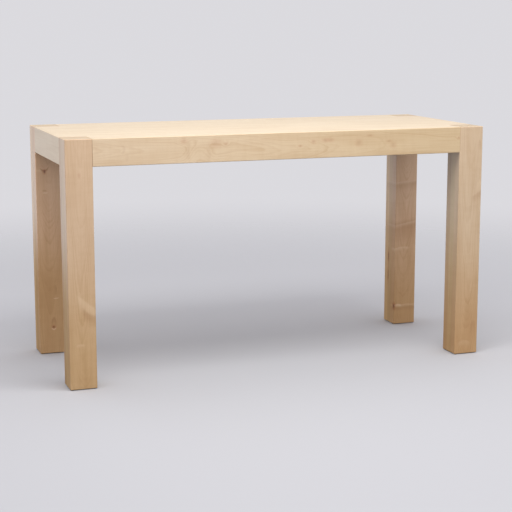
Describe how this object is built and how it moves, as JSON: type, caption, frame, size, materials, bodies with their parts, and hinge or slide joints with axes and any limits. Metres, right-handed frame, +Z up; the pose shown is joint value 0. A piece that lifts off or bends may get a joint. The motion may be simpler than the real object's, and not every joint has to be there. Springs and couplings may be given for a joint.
{
  "type": "communion table",
  "caption": "Plain square-legged wooden table at standing height, with a deep mitred top flush with the legs, whose end grain shows in its corners.",
  "frame": {"origin": "on the floor under the middle of the table", "axes": "+X along the table's length, to the right seen from the front; +Y from front to rear; +Z up"},
  "size_m": [2, 0.8, 1.1],
  "materials": {
    "maple_legs": "clear satin lacquer on glued-up maple",
    "maple_rails": "clear satin lacquer on flat-sawn maple",
    "maple_top": "clear satin lacquer on pale maple",
    "maple_inner": "planed maple, oiled, with no lacquer",
    "plywood_splines": "raw birch plywood",
    "beech_dowels": "raw beech",
    "zinc_hardware": "bright zinc plate",
    "nylon_glides": "dark moulded nylon"
  },
  "bodies": {
    "root": {"leg_front_left": "maple_legs", "leg_front_right": "maple_legs", "leg_rear_left": "maple_legs", "leg_rear_right": "maple_legs", "rail_front": "maple_rails", "rail_rear": "maple_rails", "rail_left": "maple_rails", "rail_right": "maple_rails", "top_panel": "maple_top", "spline_front": "plywood_splines", "spline_rear": "plywood_splines", "spline_left": "plywood_splines", "spline_right": "plywood_splines", "bearer_left": "maple_inner", "bearer_centre": "maple_inner", "bearer_right": "maple_inner", "corner_block_front_left": "maple_inner", "corner_block_front_right": "maple_inner", "corner_block_rear_left": "maple_inner", "corner_block_rear_right": "maple_inner", "glide_front_left": "nylon_glides", "glide_front_right": "nylon_glides", "glide_rear_left": "nylon_glides", "glide_rear_right": "nylon_glides", "rail_dowels": "beech_dowels", "bearer_dowels": "beech_dowels", "hanger_bolts": "zinc_hardware", "bolt_washers": "zinc_hardware", "bolt_nuts": "zinc_hardware", "block_screws": "zinc_hardware", "bearer_screws": "zinc_hardware", "glide_screws": "zinc_hardware"}
  },
  "joints": []
}
